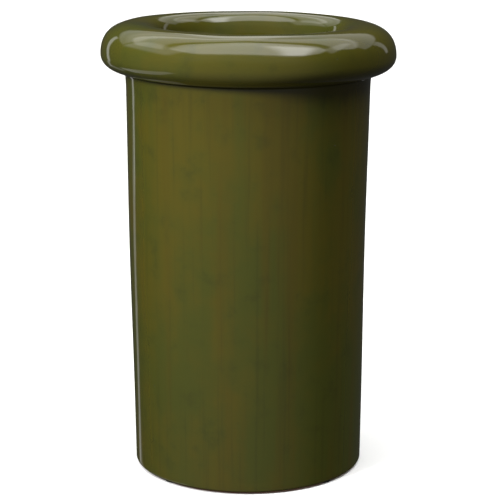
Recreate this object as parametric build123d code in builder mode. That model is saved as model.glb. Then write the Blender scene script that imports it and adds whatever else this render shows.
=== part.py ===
"""Tall glazed terracotta pot: a slightly tapered cylinder under a hollow rolled rim.

Frame, in millimetres: +Z is up and is the pot's axis, z = 0 is the surface that the pot
stands on, and -Y is the front. Every clay and glaze piece is turned about the Z axis.
"""

from build123d import *
import os

# Driving dimensions, over the glaze
pot_height = 460.0  # foot to the top of the roll
rim_diameter = 300.0
body_diameter = 250.0  # at the height of the roll's widest line
foot_diameter = 238.0
foot_edge_radius = 2.5

# The roll's section: half widths to each side of its centre, and its height above and below
roll_half_out = 35.0
roll_half_in = 24.0
roll_rise = 31.0
roll_drop = 19.0
roll_fullness = 0.63  # handle length of a quarter curve: 0.55 is an ellipse, 1 is a box
roll_mouth_fullness = 0.80  # the quarter that turns down into the mouth is squarer

# Clay and glaze
glaze_thickness = 0.8
wall_thickness = 12.0
roll_clay_thickness = 9.0
seat_depth = 4.0  # how far the wall stands up into the groove under the roll
base_thickness = 14.0
base_recess = 6.0  # air gap between the base and the foot's underside
foot_width = 20.0
base_coil_size = 10.0  # clay coils pressed into the two inside corners
rim_coil_size = 5.0
vent_diameter = 4.0  # lets air out of the hollow roll while it dries and is fired

# Drain hole, its rubber plug and the rubber pads
drain_diameter = 25.0
drain_chamfer = 1.0
drain_bare_width = 1.0  # unglazed ring round the hole
plug_flange_diameter = 36.0
plug_flange_thickness = 3.0
plug_stem_length = 20.0
plug_tip_diameter = 21.0
plug_rib_count = 2
plug_rib_rise = 0.8
plug_clearance = 0.3  # between the ribs and the hole
grip_width = 20.0
grip_thickness = 6.0
grip_height = 14.0
rubber_edge_radius = 1.0
pad_diameter = 16.0
pad_thickness = 2.0
pad_chamfer = 0.4
pad_angles = (45, 135, 225, 315)

# Heights and radii that follow from them
foot_level = pad_thickness
rim_top = foot_level + pot_height
roll_level = rim_top - roll_rise  # the roll's widest line
roll_radius = rim_diameter / 2 - roll_half_out
roll_underside = roll_level - roll_drop + glaze_thickness  # lowest line of the roll's clay
wall_top = roll_underside + seat_depth
base_underside = foot_level + base_recess
base_top = base_underside + base_thickness
drain_radius = drain_diameter / 2
overcut = 10.0  # how far a cutting shape runs past what it cuts


def glazed_radius(z):
    """Outside radius of the glazed body at height z."""
    share = (z - foot_level) / (roll_level - foot_level)
    return (foot_diameter + share * (body_diameter - foot_diameter)) / 2


def clay_radius(z):
    """Outside radius of the clay wall at height z."""
    return glazed_radius(z) - glaze_thickness


def bore_radius(z):
    """Inside radius of the clay wall at height z."""
    return clay_radius(z) - wall_thickness


foot_bore_radius = clay_radius(foot_level) - foot_width


def body_blank(radius_at, top):
    """Solid body out to radius_at(z), from the foot with its rounded edge up to top."""
    with BuildPart() as blank:
        with BuildSketch(Plane.XZ) as section:
            with BuildLine():
                Polyline(
                    (0, foot_level),
                    (radius_at(foot_level), foot_level),
                    (radius_at(top), top),
                    (0, top),
                    close=True,
                )
            make_face()
            foot_corners = section.vertices().group_by(Axis.Y)[0]
            fillet(foot_corners.sort_by(Axis.X)[-1], foot_edge_radius)
        revolve(axis=Axis.Z)
    return blank.part


def roll_blank(inset):
    """Solid ring of the roll's section, inset from its glazed surface, in four quarter curves."""
    out, inward = roll_half_out - inset, roll_half_in - inset
    rise, drop = roll_rise - inset, roll_drop - inset
    with BuildPart() as blank:
        with BuildSketch(Plane.XZ):
            with BuildLine():
                for side, height, fullness in (
                    (out, rise, roll_fullness),
                    (-inward, rise, roll_mouth_fullness),
                    (-inward, -drop, roll_fullness),
                    (out, -drop, roll_fullness),
                ):
                    Bezier(
                        (roll_radius + side, roll_level),
                        (roll_radius + side, roll_level + fullness * height),
                        (roll_radius + fullness * side, roll_level + height),
                        (roll_radius, roll_level + height),
                    )
            make_face()
        revolve(axis=Axis.Z)
    return blank.part


def coil_hollow(corner, size, up):
    """Middle of the hollow face of a coil, in a corner that opens inwards and up or down."""
    depth = size * (1 - 0.5**0.5)
    return (corner[0] - depth, corner[1] + up * depth)


clay_blank = body_blank(clay_radius, wall_top)
clay_core = body_blank(clay_radius, rim_top)
glazed_blank = body_blank(glazed_radius, roll_level)
clay_roll = roll_blank(glaze_thickness)
glazed_roll = roll_blank(0)
roll_cavity = roll_blank(glaze_thickness + roll_clay_thickness)

# Across the mouth into both sides of the roll, leaving two vents
with BuildPart() as vent_pin_blank:
    with Locations((0, 0, roll_level)):
        Cylinder(vent_diameter / 2, 2 * roll_radius, rotation=(0, 90, 0))
vent_pin = vent_pin_blank.part

# Where the coils' hollow faces start and end
base_corner = (bore_radius(base_top), base_top)
base_coil_inner = (base_corner[0] - base_coil_size, base_top)
base_coil_upper = (bore_radius(base_top + base_coil_size), base_top + base_coil_size)
rim_corner = (bore_radius(roll_underside), roll_underside)
rim_coil_lower = (bore_radius(roll_underside - rim_coil_size), roll_underside - rim_coil_size)
rim_coil_inner = (rim_corner[0] - rim_coil_size, roll_underside)


# Cylinder wall, with its foot and the ledge that the base sits on
with BuildPart() as cylinder_wall:
    add(clay_blank)
    with BuildSketch(Plane.XZ):
        with BuildLine():
            Polyline(
                (0, foot_level),
                (foot_bore_radius, foot_level),
                (foot_bore_radius, base_underside),
                (bore_radius(base_underside), base_underside),
                (bore_radius(wall_top), wall_top),
                (0, wall_top),
                close=True,
            )
        make_face()
    revolve(axis=Axis.Z, mode=Mode.SUBTRACT)


# Base disc with the drain hole, let into the wall
with BuildPart() as base_disc:
    with BuildSketch(Plane.XZ):
        with BuildLine():
            Polyline(
                (drain_radius, base_underside),
                (bore_radius(base_underside), base_underside),
                base_corner,
                (drain_radius, base_top),
                close=True,
            )
        make_face()
    revolve(axis=Axis.Z)
    hole_edges = base_disc.edges().filter_by(GeomType.CIRCLE).group_by(SortBy.RADIUS)[0]
    chamfer(hole_edges.group_by(Axis.Z)[0], drain_chamfer)


# Hollow rolled rim, grooved underneath to sit on the wall, with two vents on the inner side
with BuildPart() as rolled_rim:
    add(clay_roll)
    add(roll_cavity, mode=Mode.SUBTRACT)
    add(cylinder_wall.part, mode=Mode.SUBTRACT)
    add(vent_pin, mode=Mode.SUBTRACT)


# Coil pressed into the corner between the wall and the base
with BuildPart() as base_coil:
    with BuildSketch(Plane.XZ):
        with BuildLine():
            Polyline(base_coil_inner, base_corner, base_coil_upper)
            middle = coil_hollow(base_corner, base_coil_size, 1)
            ThreePointArc(base_coil_upper, middle, base_coil_inner)
        make_face()
    revolve(axis=Axis.Z)


# Coil pressed into the corner between the wall and the roll
with BuildPart() as rim_coil:
    with BuildSketch(Plane.XZ):
        with BuildLine():
            Polyline(
                rim_coil_inner,
                (rim_coil_inner[0], wall_top),
                (bore_radius(wall_top), wall_top),
                rim_coil_lower,
            )
            middle = coil_hollow(rim_corner, rim_coil_size, -1)
            ThreePointArc(rim_coil_lower, middle, rim_coil_inner)
        make_face()
    revolve(axis=Axis.Z)
    add(clay_roll, mode=Mode.SUBTRACT)


# Glaze on the outside of the wall, from the foot up to the roll
with BuildPart() as wall_glaze:
    add(glazed_blank)
    add(clay_core, mode=Mode.SUBTRACT)
    add(clay_roll, mode=Mode.SUBTRACT)


# Glaze all round the roll, open where the wall and its coil meet it
with BuildPart() as rim_glaze:
    add(glazed_roll)
    add(clay_roll, mode=Mode.SUBTRACT)
    with BuildSketch(Plane.XZ):
        with BuildLine():
            Polyline(
                (rim_coil_inner[0], roll_underside - overcut),
                (glazed_radius(roll_underside - overcut), roll_underside - overcut),
                (glazed_radius(roll_level), roll_level),
                (rim_coil_inner[0], roll_level),
                close=True,
            )
        make_face()
    revolve(axis=Axis.Z, mode=Mode.SUBTRACT)
    add(vent_pin, mode=Mode.SUBTRACT)


# Glaze poured round the inside, from the drain hole up to the roll
with BuildPart() as inside_glaze:
    with BuildSketch(Plane.XZ):
        with BuildLine():
            Line((drain_radius + drain_bare_width, base_top), base_coil_inner)
            middle = coil_hollow(base_corner, base_coil_size, 1)
            ThreePointArc(base_coil_inner, middle, base_coil_upper)
            Line(base_coil_upper, rim_coil_lower)
            middle = coil_hollow(rim_corner, rim_coil_size, -1)
            ThreePointArc(rim_coil_lower, middle, rim_coil_inner)
            offset(amount=glaze_thickness, side=Side.LEFT)
        make_face()
    revolve(axis=Axis.Z)


# Rubber plug: a flange on the glazed base, a ribbed stem in the hole, and a grip
with BuildPart() as drain_plug:
    seat = base_top + glaze_thickness
    stem_radius = drain_radius - plug_clearance - plug_rib_rise
    with BuildSketch(Plane.XZ):
        with BuildLine():
            Polyline(
                (0, seat - plug_stem_length),
                (plug_tip_diameter / 2, seat - plug_stem_length),
                (stem_radius, seat),
                (plug_flange_diameter / 2, seat),
                (plug_flange_diameter / 2, seat + plug_flange_thickness),
                (0, seat + plug_flange_thickness),
                close=True,
            )
        make_face()
    revolve(axis=Axis.Z)
    rib_spacing = base_thickness / (plug_rib_count + 1)
    for rib in range(plug_rib_count):
        with Locations((0, 0, base_top - (rib + 1) * rib_spacing)):
            Torus(stem_radius, plug_rib_rise)
    flange_rim = drain_plug.edges().filter_by(GeomType.CIRCLE).group_by(Axis.Z)[-1]
    fillet(flange_rim, rubber_edge_radius)
    with BuildSketch(Plane.XY.offset(seat + plug_flange_thickness)):
        RectangleRounded(grip_width, grip_thickness, grip_thickness / 3)
    extrude(amount=grip_height)
    fillet(drain_plug.edges().group_by(Axis.Z)[-1], rubber_edge_radius)


os.makedirs("parts", exist_ok=True)
pieces = {
    "cylinder_wall": cylinder_wall,
    "base_disc": base_disc,
    "rolled_rim": rolled_rim,
    "base_coil": base_coil,
    "rim_coil": rim_coil,
    "wall_glaze": wall_glaze,
    "rim_glaze": rim_glaze,
    "inside_glaze": inside_glaze,
    "drain_plug": drain_plug,
}
for name, piece in pieces.items():
    piece.part.label = name
    export_step(piece.part, f"parts/{name}.step")


# Rubber pads stuck under the foot
for number, angle in enumerate(pad_angles, start=1):
    with BuildPart() as foot_pad:
        with PolarLocations(clay_radius(foot_level) - foot_width / 2, 1, start_angle=angle):
            Cylinder(pad_diameter / 2, pad_thickness, align=(Align.CENTER, Align.CENTER, Align.MIN))
        chamfer(foot_pad.edges().group_by(Axis.Z)[0], pad_chamfer)
    foot_pad.part.label = f"foot_pad_{number}"
    export_step(foot_pad.part, f"parts/{foot_pad.part.label}.step")
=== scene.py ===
import bpy
import numpy as np
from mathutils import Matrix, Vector


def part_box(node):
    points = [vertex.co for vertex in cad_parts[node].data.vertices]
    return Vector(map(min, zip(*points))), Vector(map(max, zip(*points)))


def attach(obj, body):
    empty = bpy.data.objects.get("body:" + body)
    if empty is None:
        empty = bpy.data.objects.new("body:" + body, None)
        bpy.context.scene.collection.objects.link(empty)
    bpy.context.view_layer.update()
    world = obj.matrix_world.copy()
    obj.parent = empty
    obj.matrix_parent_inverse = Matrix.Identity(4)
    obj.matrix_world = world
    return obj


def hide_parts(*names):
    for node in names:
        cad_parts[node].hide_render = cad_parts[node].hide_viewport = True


# Tall glazed terracotta pot with a hollow rolled rim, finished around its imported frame.
# Metres, +Z up, z = 0 is what the pot stands on, -Y is the front.
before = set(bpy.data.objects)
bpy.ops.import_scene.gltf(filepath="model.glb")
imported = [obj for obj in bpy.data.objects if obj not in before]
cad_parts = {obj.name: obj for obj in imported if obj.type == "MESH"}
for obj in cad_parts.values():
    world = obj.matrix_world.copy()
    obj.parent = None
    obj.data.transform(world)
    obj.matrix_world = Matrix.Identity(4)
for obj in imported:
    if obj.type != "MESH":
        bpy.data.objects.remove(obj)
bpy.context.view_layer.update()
print("stage: frame loaded")

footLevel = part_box("wall_glaze")[0].z
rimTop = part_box("rim_glaze")[1].z
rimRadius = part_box("rim_glaze")[1].x
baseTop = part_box("base_disc")[1].z
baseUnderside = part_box("base_disc")[0].z

pot = {
    "footRadius": 0.119,
    "bodyRadius": 0.125,  # at the roll's widest line
    "footEdge": 0.0025,
    "footWidth": 0.020,
    "glaze": 0.0008,
    "wall": 0.012,
    "bow": 0.0008,  # how far the middle of the wall leans to the left
    "bowSkew": 1.2,  # above 1 puts the middle of the bow higher up
    "flare": 0.0005,  # the wall opens a little just under the roll
    "flareReach": 0.016,
    "tiltReach": 0.040,  # how far down the wall follows the roll's tilt
    "wave": 0.00012,
}
roll = {
    "out": 0.035,
    "inward": 0.024,
    "rise": 0.031,
    "drop": 0.019,
    "fullness": 0.63,
    "mouthFullness": 0.80,  # the quarter that turns down into the mouth is squarer
    "clay": 0.009,
    "seat": 0.004,  # how deep the top of the wall sits in its groove
    "tilt": np.radians(0.6),  # the left side sits higher
    "shiftX": 0.00027,
    # share of the section, waves round the pot, waves round the section, start
    "waves": ((0.006, 2, 0, 0.8), (0.004, 5, 0, 2.1), (0.006, 3, 2, 1.3), (0.0035, 9, -3, 0.4)),
    # heights under the first don't wave, so that the roll sits level on the wall
    "waveFade": (-0.012, 0.006),
}
rollLevel = rimTop - roll["rise"]
rollRadius = rimRadius - roll["out"]
rollUnderside = rollLevel - roll["drop"] + pot["glaze"]
wallTop = rollUnderside + roll["seat"]


# foot radius + share of the height up to the roll * (body radius - foot radius)
def glazedRadius(z):
    share = (z - footLevel) / (rollLevel - footLevel)
    return pot["footRadius"] + share * (pot["bodyRadius"] - pot["footRadius"])


# the glazed radius less the glaze
def clayRadius(z):
    return glazedRadius(z) - pot["glaze"]


# the clay's radius less the wall
def boreRadius(z):
    return clayRadius(z) - pot["wall"]


# 0 below low, 1 above high, and 3t^2 - 2t^3 between them
def easeBetween(value, low, high):
    t = np.clip((value - low) / (high - low), 0, 1)
    return t * t * (3 - 2 * t)


# The wall leans to -X by bow * sin^2(pi s^bowSkew), s the share of its height. It opens by
# flare near the top, waves by wave * sin(3 angle + 7 s), and its top tilts with the roll.
def wallDrift(points):
    x, y, z = points.T
    share = np.clip((z - footLevel) / (rollUnderside - footLevel), 0, 1)
    angle, radius = np.arctan2(y, x), np.hypot(x, y)
    lean = -pot["bow"] * np.sin(np.pi * share ** pot["bowSkew"]) ** 2
    swell = pot["flare"] * easeBetween(z, rollUnderside - pot["flareReach"], rollUnderside)
    swell = swell + pot["wave"] * np.sin(np.pi * share) * np.sin(3 * angle + 7 * share + 0.5)
    grow = 1 + swell / np.maximum(radius, 0.02)
    tilting = easeBetween(z, rollUnderside - pot["tiltReach"], rollUnderside)
    return np.stack([
        x * grow + lean + roll["shiftX"] * share**4,
        y * grow,
        z - np.tan(roll["tilt"]) * x * tilting,
    ], axis=1)


# The roll's section swells by a sum of share * sin(waves * angle + waves * way round the
# section + start). Then the roll turns by tilt about the Y axis through its centre.
def rollDrift(points):
    x, y, z = points.T
    angle = np.arctan2(y, x)
    across, up = np.hypot(x, y) - rollRadius, z - rollLevel
    roundSection = np.arctan2(up, across)
    swell = sum(
        share * np.sin(potWaves * angle + sectionWaves * roundSection + start)
        for share, potWaves, sectionWaves, start in roll["waves"])
    radius = rollRadius + across * (1 + swell)
    up = up * (1 + swell * easeBetween(up, *roll["waveFade"]))
    x, y = radius * np.cos(angle), radius * np.sin(angle)
    cosine, sine = np.cos(roll["tilt"]), np.sin(roll["tilt"])
    return np.stack([
        x * cosine + up * sine + roll["shiftX"],
        y,
        rollLevel + up * cosine - x * sine,
    ], axis=1)


# points from start towards end, end left out, no further apart than step
def straight(start, end, step):
    start, end = np.array(start, float), np.array(end, float)
    count = max(1, int(np.ceil(np.linalg.norm(end - start) / step)))
    return start + (end - start) * (np.arange(count) / count)[:, None]


# centre + radius * (cos a, sin a), a from one angle in degrees to the other, last left out
def arc(centre, radius, first, last, count):
    a = np.radians(first + (last - first) * np.arange(count) / count)
    return np.array(centre) + radius * np.stack([np.cos(a), np.sin(a)], axis=1)


# The roll's section as four quarter Bezier curves, inset from the glaze, counter-clockwise
# from its outermost point: P = sum of B_k(t) * handle_k
def rollSection(inset, count):
    out, inward = roll["out"] - inset, roll["inward"] - inset
    rise, drop = roll["rise"] - inset, roll["drop"] - inset
    soft, square = roll["fullness"], roll["mouthFullness"]
    t = np.arange(count) / count
    weights = np.stack([(1 - t) ** 3, 3 * (1 - t) ** 2 * t, 3 * (1 - t) * t**2, t**3], axis=1)
    quarters = []
    for side, height, full, fromCrest in (
        (out, rise, soft, False), (-inward, rise, square, True),
        (-inward, -drop, soft, False), (out, -drop, soft, True),
    ):
        handles = np.array([(side, 0), (side, full * height), (full * side, height), (0, height)])
        quarters.append(weights @ (handles[::-1] if fromCrest else handles))
    return np.concatenate(quarters) + (rollRadius, rollLevel)


# each point moved by distance along the outward normal of an open line of (radius, z) points
def beside(line, distance):
    along = np.gradient(line, axis=0)
    along = along / np.linalg.norm(along, axis=1)[:, None]
    return line + distance * np.stack([along[:, 1], -along[:, 0]], axis=1)


# Turns closed loops of (radius, z) about Z: P = (r cos a, r sin a, z), then drift(P). The
# first loop is run counter-clockwise, which makes its faces point outwards. A cavity's loop
# runs the other way.
def turned(name, loops, count, drift):
    angles = np.arange(count) * 2 * np.pi / count
    ring = np.stack([np.cos(angles), np.sin(angles)], axis=1)
    ahead = np.roll(loops[0], -1, axis=0)
    turnsLeft = np.sum(loops[0][:, 0] * ahead[:, 1] - ahead[:, 0] * loops[0][:, 1]) > 0
    allPoints, allFaces, offset = [], [], 0
    for loop in loops:
        loop = loop if turnsLeft else loop[::-1]
        rows = len(loop)
        flat = loop[:, None, :1] * ring[None]
        height = np.broadcast_to(loop[:, None, 1:], (rows, count, 1))
        allPoints.append(np.concatenate([flat, height], axis=2).reshape(-1, 3))
        i, j = np.arange(rows)[:, None], np.arange(count)[None]
        nextI, nextJ = (i + 1) % rows, (j + 1) % count
        quads = [i * count + j, i * count + nextJ, nextI * count + nextJ, nextI * count + j]
        allFaces.append(np.stack(quads, axis=2).reshape(-1, 4) + offset)
        offset += rows * count
    return surface(name, drift(np.concatenate(allPoints)), np.concatenate(allFaces).tolist())


# a smooth-shaded mesh object at the origin, of points and faces as they are given
def surface(name, points, faces):
    mesh = bpy.data.meshes.new(name)
    mesh.from_pydata(points.tolist(), [], faces)
    mesh.polygons.foreach_set("use_smooth", np.ones(len(mesh.polygons), bool))
    mesh.update()
    piece = bpy.data.objects.new(name, mesh)
    bpy.context.scene.collection.objects.link(piece)
    return piece


# an output of a node, with the operators that its values need
class Wire:
    def __init__(self, recipe, socket):
        self.recipe = recipe
        self.socket = socket

    def maths(self, operation, *others):
        values = dict(enumerate((self, *others)))
        return self.recipe.add("ShaderNodeMath", {"operation": operation}, values)

    def __add__(self, other):
        return self.maths("ADD", other)

    __radd__ = __add__

    def __mul__(self, other):
        return self.maths("MULTIPLY", other)

    __rmul__ = __mul__

    def __sub__(self, other):
        return self.maths("SUBTRACT", other)

    def __rsub__(self, other):
        return self.maths("MULTIPLY", -1.0) + other


# the nodes of one material, or of the world
class Recipe:
    def __init__(self, tree):
        self.tree = tree
        tree.nodes.clear()

    # one node: settings first, then the values or links of its sockets; returns an output
    def add(self, kind, settings=None, values=None, output=0):
        node = self.tree.nodes.new(kind)
        for key, value in (settings or {}).items():
            setattr(node, key, value)
        for key, value in (values or {}).items():
            if isinstance(value, Wire):
                self.tree.links.new(value.socket, node.inputs[key])
            else:
                node.inputs[key].default_value = value
        if output is None or not node.outputs:
            return node
        return Wire(self, node.outputs[output])

    # 0 where the value is at low, 1 at high, eased between
    def between(self, value, low, high):
        return self.add("ShaderNodeMapRange", {"interpolation_type": "SMOOTHSTEP"},
                        {"Value": value, "From Min": low, "From Max": high})

    def noise(self, place, scale, detail, roughness=0.5):
        return self.add("ShaderNodeTexNoise", {}, {
            "Vector": place, "Scale": scale, "Detail": detail, "Roughness": roughness})

    # distance to the nearest of scattered points, and a number drawn for that point
    def cells(self, place, scale):
        node = self.add("ShaderNodeTexVoronoi", {}, {"Vector": place, "Scale": scale}, output=None)
        draw = self.add("ShaderNodeSeparateColor", {}, {0: Wire(self, node.outputs["Color"])})
        return Wire(self, node.outputs["Distance"]), draw

    # the place scaled, so that a pattern on it is drawn out along Z, or across it
    def stretched(self, place, scaleZ, scaleAcross=1.0):
        scale = (scaleAcross, scaleAcross, scaleZ)
        return self.add("ShaderNodeMapping", {}, {"Vector": place, "Scale": scale})

    # first colour where the mask is 0, second where it is 1
    def blend(self, mask, first, second):
        values = {0: mask, 6: first, 7: second}
        return self.add("ShaderNodeMix", {"data_type": "RGBA"}, values, output=2)

    def bump(self, height):
        return self.add("ShaderNodeBump", {}, {"Height": height, "Strength": 1.0, "Distance": 1.0})


# a material with one Principled shader; fixed numbers sit on the shader's own sockets
def finish(name, build):
    material = bpy.data.materials.new(name)
    material.use_nodes = True
    recipe = Recipe(material.node_tree)
    place = recipe.add("ShaderNodeTexCoord", output="Object")
    shader = recipe.add("ShaderNodeBsdfPrincipled", {}, build(recipe, place))
    recipe.add("ShaderNodeOutputMaterial", {}, {"Surface": shader})
    return material


# a colour with nothing see-through about it
def tint(red, green, blue):
    return (red, green, blue, 1.0)


glazeLook = {
    "warm": tint(0.076, 0.063, 0.0050),
    "green": tint(0.055, 0.060, 0.0066),
    "brown": tint(0.071, 0.054, 0.0046),
    "deep": tint(0.033, 0.032, 0.0056),
    "pale": tint(0.150, 0.135, 0.0400),
    "ior": 1.60,
    "rollLine": (0.400, 0.415),  # painted shade, a darker and greener glaze, comes in between these heights, so it covers the roll and starts on the wall just under it
    "rollShadeGreen": 0.30,
    "rollShadeDeep": 0.20,
    "cloudScale": 13.0,
    "mottleScale": 42.0,
    "mottle": 0.30,
    "bandScale": 46.0,
    "bandBrown": 0.70,
    "bandGreen": 0.50,
    "runScale": 210.0,
    "run": 0.35,
    "threadScale": 62.0,
    "thread": 0.30,
    "threadHeight": 0.00006,
    "pinholeScale": 105.0,
    "pinhole": 0.80,
    "pinholeDepth": 0.00025,
}


# Olive glaze. Colour = warm to green by soft cloud noise, greener low down, with painted
# shade as a darker and greener glaze on the roll and the wall just under it, upright bands of
# brown and green under the roll, thin darker and paler runs, and dark pinholes. Roughness =
# 0.02 + a little cloud and run. Height = undulations + orange peel + streaks + grain + pale runs -
# pinholes.
def oliveGlaze(recipe, place):
    look = glazeLook
    up = recipe.add("ShaderNodeSeparateXYZ", {}, {0: place}, output=2)
    onRoll = recipe.between(up, *look["rollLine"])
    belowRoll = 1 - onRoll
    cloud = recipe.noise(recipe.stretched(place, 0.5), look["cloudScale"], 3.0, 0.55)
    mottle = recipe.noise(place, look["mottleScale"], 4.0, 0.6)
    band = recipe.noise(recipe.stretched(place, 0.05), look["bandScale"], 3.0, 0.55)
    run = recipe.noise(recipe.stretched(place, 0.02), look["runScale"], 3.0, 0.6)
    greenness = cloud * 0.7 + mottle * 0.3 + recipe.between(up, 0.36, 0.05) * 0.08
    colour = recipe.blend(recipe.between(greenness, 0.42, 0.64), look["warm"], look["green"])
    # painted shade: a darker, greener copy of the glaze on the roll and on the wall just under it
    colour = recipe.blend(onRoll * look["rollShadeGreen"], colour, look["green"])
    colour = recipe.blend(onRoll * look["rollShadeDeep"], colour, look["deep"])
    brownBand = recipe.between(band, 0.50, 0.70) * belowRoll * look["bandBrown"]
    colour = recipe.blend(brownBand, colour, look["brown"])
    greenBand = recipe.between(band, 0.48, 0.32) * belowRoll * look["bandGreen"]
    colour = recipe.blend(greenBand, colour, look["green"])
    colour = recipe.blend(recipe.between(mottle, 0.54, 0.74) * look["mottle"], colour, look["deep"])
    darkRun = recipe.between(run, 0.50, 0.76) * belowRoll * look["run"]
    colour = recipe.blend(darkRun, colour, look["deep"])
    thread, threadDraw = recipe.cells(recipe.stretched(place, 0.012), look["threadScale"])
    paleRun = recipe.between(thread, 0.055, 0.02) * recipe.between(threadDraw, 0.84, 0.86)
    paleRun = paleRun * belowRoll
    colour = recipe.blend(paleRun * look["thread"], colour, look["pale"])
    near, draw = recipe.cells(place, look["pinholeScale"])
    pinhole = recipe.between(near, 0.065, 0.03) * recipe.between(draw, 0.88, 0.90)
    colour = recipe.blend(pinhole * look["pinhole"], colour, look["deep"])
    height = recipe.noise(place, 30.0, 2.0, 0.4) * 0.00012
    height = height + recipe.noise(place, 120.0, 1.0) * 0.000018
    height = height + recipe.noise(recipe.stretched(place, 0.07), 95.0, 2.0) * 0.00003
    height = height + recipe.noise(place, 420.0, 1.0) * 0.000004
    height = height + paleRun * look["threadHeight"] - pinhole * look["pinholeDepth"]
    return {
        "Base Color": colour,
        "Roughness": cloud * 0.06 + 0.02 + run * 0.03,
        "IOR": look["ior"],
        "Normal": recipe.bump(height),
    }


clayLook = {
    "body": tint(0.44, 0.165, 0.075),
    "pale": tint(0.56, 0.27, 0.145),
    "dark": tint(0.26, 0.085, 0.038),
    "cloudScale": 22.0,
    "gritScale": 900.0,
    "speckScale": 420.0,
    "ringScale": 500.0,
    "gloss": 0.3,
}


# Bare clay. Colour = body to pale by cloudy noise, with dark specks and dark grit.
# Roughness = 0.78 + a little grit. Height = grit + turning rings + cloud.
def bareClay(recipe, place):
    look = clayLook
    cloud = recipe.noise(place, look["cloudScale"], 5.0, 0.6)
    grit = recipe.noise(place, look["gritScale"], 3.0, 0.7)
    speck = recipe.add("ShaderNodeTexVoronoi", {}, {"Vector": place, "Scale": look["speckScale"]})
    rings = recipe.noise(recipe.stretched(place, 1.0, 0.02), look["ringScale"], 2.0)
    colour = recipe.blend(recipe.between(cloud, 0.35, 0.70), look["body"], look["pale"])
    colour = recipe.blend(recipe.between(speck, 0.22, 0.12) * 0.6, colour, look["dark"])
    colour = recipe.blend(recipe.between(grit, 0.55, 0.75) * 0.4, colour, look["dark"])
    return {
        "Base Color": colour,
        "Roughness": grit * 0.15 + 0.78,
        "Specular IOR Level": look["gloss"],
        "Normal": recipe.bump(grit * 0.00012 + rings * 0.00010 + cloud * 0.0003),
    }


rubberColours = {
    "plug": (tint(0.055, 0.055, 0.052), tint(0.12, 0.118, 0.11)),
    "pads": (tint(0.018, 0.018, 0.018), tint(0.06, 0.058, 0.054)),
}


# Moulded rubber. Colour = dark to a dusty bloom by noise. Roughness = 0.5 + some dust.
# Height = fine grain.
def rubber(dark, bloom):
    def build(recipe, place):
        dust = recipe.noise(place, 70.0, 4.0, 0.6)
        grain = recipe.noise(place, 1500.0, 2.0, 0.6)
        return {
            "Base Color": recipe.blend(recipe.between(dust, 0.45, 0.80), dark, bloom),
            "Roughness": dust * 0.25 + 0.50,
            "Normal": recipe.bump(grain * 0.00003),
        }
    return build


glaze = finish("oliveGlaze", oliveGlaze)
clay = finish("bareClay", bareClay)
blackRubber = finish("blackRubber", rubber(*rubberColours["pads"]))
greyRubber = finish("greyRubber", rubber(*rubberColours["plug"]))
print("stage: finishes made")


# gives a piece its material and its place in the frame
def fit(piece, material, node):
    piece.data.materials.clear()
    piece.data.materials.append(material)
    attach(piece, "pot")
    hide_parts(node)


coil = {
    "base": 0.010,
    "rim": 0.005,
    "hollow": 0.086,  # 0 is hollowed right into the corner, 0.5 is a straight bevel
    "faceCount": 10,
    "count": 256,
}
wallGlazeDetail = {"lap": 0.001, "step": 0.004, "clayStep": 0.012, "count": 600}


# Outside glaze: down the outside, round the foot's edge and back up against the clay
def makeWallGlaze():
    detail = wallGlazeDetail
    top = rollUnderside + detail["lap"]
    edge = pot["footEdge"]
    turn = footLevel + edge
    loop = np.concatenate([
        straight((glazedRadius(top), top), (glazedRadius(turn), turn), detail["step"]),
        arc((pot["footRadius"] - edge, turn), edge, 0, -90, 8),
        arc((clayRadius(footLevel) - edge, turn), edge, -90, 0, 4),
        straight((clayRadius(turn), turn), (clayRadius(top), top), detail["clayStep"]),
        [(clayRadius(top), top)],
    ])
    return turned("wallGlaze", [loop], detail["count"], wallDrift)


# a closed section without the points where isOpen says so, started just after that gap
def withoutGap(section, isOpen):
    gap = np.flatnonzero(isOpen(section))
    return np.roll(section, -(gap[-1] + 1), axis=0)[:len(section) - len(gap)]


rimGlazeDetail = {
    "outside": 32,  # points in a quarter of the section
    "inside": 12,
    "count": 560,
    "openBelow": 0.6,  # share of the drop, below which the glaze is open over the wall
    "tuck": 0.0004,
}


# where the roll's glaze stops, each side of the wall and its coil
def overWallAndCoil(section):
    radius, z = section.T
    inner = boreRadius(rollUnderside) - coil["rim"]
    outer = glazedRadius(rollUnderside) - rimGlazeDetail["tuck"]
    low = z < rollLevel - rimGlazeDetail["openBelow"] * roll["drop"]
    return low & (radius > inner) & (radius < outer)


# Roll's glaze: the section without its stretch over the wall, and back along the clay
def makeRimGlaze():
    outer = withoutGap(rollSection(0, rimGlazeDetail["outside"]), overWallAndCoil)
    inner = withoutGap(rollSection(pot["glaze"], rimGlazeDetail["inside"]), overWallAndCoil)
    loop = np.concatenate([outer, inner[::-1]])
    return turned("rimGlaze", [loop], rimGlazeDetail["count"], rollDrift)


rolledRimDetail = {"outside": 24, "cavity": 18, "count": 256}


# where the groove for the top of the wall is
def overWall(section):
    radius, z = section.T
    return (z < rollLevel) & (radius > boreRadius(wallTop)) & (radius < clayRadius(wallTop))


# Roll's clay: its outside with the groove for the wall, and its cavity
def makeRolledRim():
    outer = withoutGap(rollSection(pot["glaze"], rolledRimDetail["outside"]), overWall)
    cavity = rollSection(pot["glaze"] + roll["clay"], rolledRimDetail["cavity"])
    groove = [
        (boreRadius(rollUnderside), rollUnderside), (boreRadius(wallTop), wallTop),
        (clayRadius(wallTop), wallTop), (clayRadius(rollUnderside), rollUnderside)]
    loops = [np.concatenate([outer, groove]), cavity[::-1]]
    return turned("rolledRim", loops, rolledRimDetail["count"], rollDrift)


# Hollow face of a coil: P = (1 - t)^2 first + 2 t (1 - t) pull + t^2 last, where pull is
# the corner drawn a little towards both ends. Last is left out.
def hollowFace(first, last, corner):
    t = (np.arange(coil["faceCount"]) / coil["faceCount"])[:, None]
    first, last, corner = np.array(first), np.array(last), np.array(corner)
    pull = (1 - 2 * coil["hollow"]) * corner + coil["hollow"] * (first + last)
    return (1 - t) ** 2 * first + 2 * t * (1 - t) * pull + t**2 * last


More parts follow.
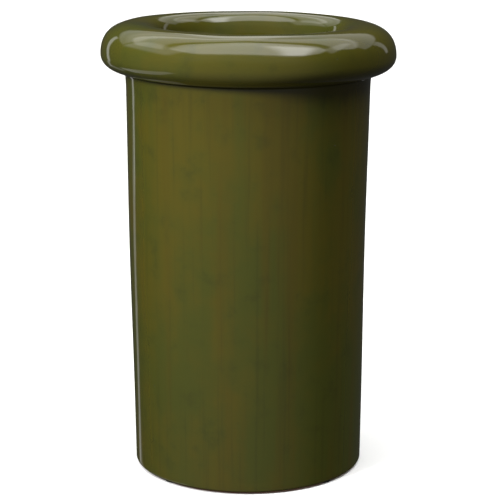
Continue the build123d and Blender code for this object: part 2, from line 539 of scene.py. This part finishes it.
# the inside corners at the base and under the roll, and where their coils end
def insideCorners():
    base = (boreRadius(baseTop), baseTop)
    rim = (boreRadius(rollUnderside), rollUnderside)
    coilTop, coilFoot = baseTop + coil["base"], rollUnderside - coil["rim"]
    return {
        "base": base,
        "baseInner": (base[0] - coil["base"], baseTop),
        "baseUpper": (boreRadius(coilTop), coilTop),
        "rim": rim,
        "rimLower": (boreRadius(coilFoot), coilFoot),
        "rimInner": (rim[0] - coil["rim"], rollUnderside),
    }


at = insideCorners()
insideGlazeDetail = {
    "drainEdge": 0.0135,  # bare clay inside this radius
    "baseStep": 0.008,
    "wallStep": 0.006,
    "lip": 0.001,
    "count": 480,
}


# Inside glaze: out along the base, up the coil, the wall and the rim's coil, and back
def makeInsideGlaze():
    detail = insideGlazeDetail
    lip = (at["rimInner"][0] - detail["lip"], at["rimInner"][1] + detail["lip"])
    line = np.concatenate([
        straight((detail["drainEdge"], baseTop), at["baseInner"], detail["baseStep"]),
        hollowFace(at["baseInner"], at["baseUpper"], at["base"]),
        straight(at["baseUpper"], at["rimLower"], detail["wallStep"]),
        hollowFace(at["rimLower"], at["rimInner"], at["rim"]),
        [at["rimInner"], lip],
    ])
    skin = beside(line, -pot["glaze"])
    loop = np.concatenate([line, skin[::-1]])
    return turned("insideGlaze", [loop], detail["count"], wallDrift)


wallDetail = {"step": 0.020, "footStep": 0.005, "riseStep": 0.003, "topStep": 0.004, "count": 256}


# Clay wall: down the outside, round the foot's edge, in under the foot, up to the ledge
# that the base sits on, out along it, up the bore and across the top
def makeCylinderWall():
    detail = wallDetail
    edge = pot["footEdge"]
    turn = footLevel + edge
    footOuter, footInner = clayRadius(footLevel) - edge, clayRadius(footLevel) - pot["footWidth"]
    outerTop, innerTop = (clayRadius(wallTop), wallTop), (boreRadius(wallTop), wallTop)
    ledge = (boreRadius(baseUnderside), baseUnderside)
    loop = np.concatenate([
        straight(outerTop, (clayRadius(turn), turn), detail["step"]),
        arc((footOuter, turn), edge, 0, -90, 6),
        straight((footOuter, footLevel), (footInner, footLevel), detail["footStep"]),
        straight((footInner, footLevel), (footInner, baseUnderside), detail["riseStep"]),
        straight((footInner, baseUnderside), ledge, detail["footStep"]),
        straight(ledge, innerTop, detail["step"]),
        straight(innerTop, outerTop, detail["topStep"]),
    ])
    return turned("cylinderWall", [loop], detail["count"], wallDrift)


# a coil pressed into a corner: its hollow face, closed through the corner
def makeCoil(name, first, last, corner):
    loop = np.concatenate([hollowFace(first, last, corner), [last, corner]])
    return turned(name, [loop], coil["count"], wallDrift)


fit(makeWallGlaze(), glaze, "wall_glaze")
fit(makeRimGlaze(), glaze, "rim_glaze")
fit(makeInsideGlaze(), glaze, "inside_glaze")
fit(makeRolledRim(), clay, "rolled_rim")
fit(makeCylinderWall(), clay, "cylinder_wall")
baseCoil = makeCoil("baseCoil", at["baseInner"], at["baseUpper"], at["base"])
fit(baseCoil, clay, "base_coil")
rimCoil = makeCoil("rimCoil", at["rimLower"], at["rimInner"], at["rim"])
fit(rimCoil, clay, "rim_coil")

for node, material in (
    ("base_disc", clay), ("drain_plug", greyRubber), ("foot_pad_1", blackRubber),
    ("foot_pad_2", blackRubber), ("foot_pad_3", blackRubber), ("foot_pad_4", blackRubber),
):
    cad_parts[node].data.materials.clear()
    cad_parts[node].data.materials.append(material)
print("stage: pieces made")


# direction of an azimuth (0 is the front, 90 is +X) and an elevation, in degrees
def heading(azimuth, elevation):
    a, e = np.radians(azimuth), np.radians(elevation)
    return np.array([np.sin(a) * np.cos(e), -np.cos(a) * np.cos(e), np.sin(e)])


key = {"azimuth": -42, "distance": 1.1, "height": 0.85, "size": 0.3, "radiance": 70.0}


# a round softbox facing the pot, seen by matt surfaces only; power = pi * area * radiance
def makeKeyLight():
    light = bpy.data.lights.new("key", "AREA")
    light.shape = "DISK"
    light.size = key["size"]
    light.energy = np.pi * np.pi * key["size"] ** 2 / 4 * key["radiance"]
    lamp = bpy.data.objects.new("key", light)
    bpy.context.scene.collection.objects.link(lamp)
    across = Vector(heading(key["azimuth"], 0)) * key["distance"]
    lamp.location = across + Vector((0, 0, key["height"]))
    aim = lamp.location - Vector((0, 0, rollLevel))
    lamp.rotation_euler = aim.to_track_quat("Z", "Y").to_euler()
    lamp.visible_glossy = False


# overhead boxes: corners on a ceiling at height 1, edge softness, radiance
overhead = (
    (((0.0, 0.50), (-0.42, 0.25), (-0.90, -0.14), (-0.78, -0.62), (-0.30, -0.76),
      (0.90, -0.80), (1.12, -0.45), (0.96, -0.10), (0.45, 0.22)), 0.03, 1.5),
    (((0.0, 0.44), (-0.80, -0.12), (-0.70, -0.70), (0.85, -0.86), (0.90, -0.10)), 0.14, 1.3),
    (((0.14, 0.10), (0.58, 0.05), (0.95, -0.70), (0.52, -0.80)), 0.08, 3.2),
    (((0.0, 0.66), (-1.10, -0.10), (-1.4, 0.6), (-0.9, 1.1), (0.0, 1.1)), 0.04, 1.15),
    (((0.0, 0.66), (1.10, 0.0), (1.5, 0.45), (0.5, 1.1), (0.0, 1.1)), 0.04, 1.25),
)
# walls: corners as (azimuth, elevation), edge softness, radiance
walls = (
    (((-184, 44), (-125, 40), (-125, 22), (-184, 18)), 0.02, 0.50),
    (((-184, 46), (-125, 42), (-125, 28), (-184, 27)), 0.05, 0.35),
    (((-122, 48), (-62, 50), (-70, 28), (-122, 22)), 0.07, 0.95),
    (((184, 36), (112, 36), (112, 25), (184, 18)), 0.02, 0.60),
    (((128, 47), (84, 50), (78, 34), (128, 42)), 0.04, 0.90),
    (((-60, 52), (45, 46), (45, 16), (-60, 16)), 0.20, 0.12),
    (((-150, 20), (-144, 22), (-134, -8), (-138, -12)), 0.018, 0.95),
    (((-142, -10), (-136, -10), (-144, -21), (-150, -21)), 0.025, 0.50),
    (((-149, -20), (-140, -20), (-132, -32), (-145, -32)), 0.03, 0.25),
    (((-130, -26), (-70, -26), (-64, -33), (-95, -46), (-128, -38)), 0.035, 0.75),
    (((128, 26), (139, 26), (137, 2), (132, 2)), 0.02, 0.55),
)
# the dim room: even radiance, then glows as azimuth, cosine where it starts and is full, radiance
room = {"even": 0.040, "glows": ((-18, -0.2, 0.85, 0.12), (-55, 0.1, 0.9, 0.04))}


# World: white where the camera sees it. As light, the dim room plus boxes: radiance
# * product over the edges of ease(cosine of the angle past the edge).
def makeWorld():
    world = bpy.data.worlds.new("studio")
    bpy.context.scene.world = world
    world.use_nodes = True
    recipe = Recipe(world.node_tree)
    look = recipe.add("ShaderNodeTexCoord", output="Generated")

    def facing(way):
        values = {0: look, 1: tuple(way)}
        return recipe.add("ShaderNodeVectorMath", {"operation": "DOT_PRODUCT"}, values, output="Value")

    light = room["even"]
    for azimuth, start, full, radiance in room["glows"]:
        light = light + recipe.between(facing(heading(azimuth, 0)), start, full) * radiance
    boxes = [([(x, y, 1) for x, y in corners], *rest) for corners, *rest in overhead]
    boxes += [([heading(*corner) for corner in corners], *rest) for corners, *rest in walls]
    for corners, soft, radiance in boxes:
        corners = np.array(corners, float)
        middle = corners.mean(axis=0)
        mask = None
        for first, second in zip(corners, np.roll(corners, -1, axis=0)):
            way = np.cross(first, second)
            way = way / np.linalg.norm(way) * np.sign(way @ middle)
            part = recipe.between(facing(way), -soft, soft)
            mask = part if mask is None else mask * part
        light = light + mask * radiance
    white = tint(1, 1, 1)
    lit = recipe.add("ShaderNodeBackground", {}, {"Color": white, "Strength": light})
    seen = recipe.add("ShaderNodeBackground", {}, {"Color": white, "Strength": 1.0})
    byCamera = recipe.add("ShaderNodeLightPath", output="Is Camera Ray")
    mixed = recipe.add("ShaderNodeMixShader", {}, {0: byCamera, 1: lit, 2: seen})
    recipe.add("ShaderNodeOutputWorld", {}, {"Surface": mixed})


floorLook = {"halfSize": 6.0, "colour": tint(0.93, 0.93, 0.92)}


# pale flat floor at z = 0, clear from below, which throws no light back at the pot
def makeFloor():
    size = floorLook["halfSize"]
    corners = np.array([(-size, -size, 0), (size, -size, 0), (size, size, 0), (-size, size, 0)])
    floor = surface("floor", corners, [[0, 1, 2, 3]])
    material = bpy.data.materials.new("paleFloor")
    material.use_nodes = True
    recipe = Recipe(material.node_tree)
    board = recipe.add("ShaderNodeBsdfDiffuse", {}, {"Color": floorLook["colour"]})
    clear = recipe.add("ShaderNodeBsdfTransparent")
    fromBelow = recipe.add("ShaderNodeNewGeometry", output="Backfacing")
    mixed = recipe.add("ShaderNodeMixShader", {}, {0: fromBelow, 1: board, 2: clear})
    recipe.add("ShaderNodeOutputMaterial", {}, {"Surface": mixed})
    floor.data.materials.append(material)
    floor.visible_glossy = False
    floor.visible_diffuse = False
    floor.visible_shadow = False


# in front of the pot, looking a little down on it
camera = {
    "place": (0.0021, -1.826, 0.654),
    "pitch": np.radians(13.21),
    "lens": 129.6,
    "sensor": 36.0,
    "nearest": 0.05,
}


# level from side to side, tipped down by pitch
def makeCamera():
    lens = bpy.data.cameras.new("camera")
    lens.lens = camera["lens"]
    lens.sensor_width = camera["sensor"]
    lens.clip_start = camera["nearest"]
    seer = bpy.data.objects.new("camera", lens)
    bpy.context.scene.collection.objects.link(seer)
    seer.location = camera["place"]
    seer.rotation_euler = (np.pi / 2 - camera["pitch"], 0, 0)
    bpy.context.scene.camera = seer


makeWorld()
makeKeyLight()
makeFloor()
makeCamera()
bpy.context.scene.view_settings.view_transform = "Standard"
print("stage: studio set")
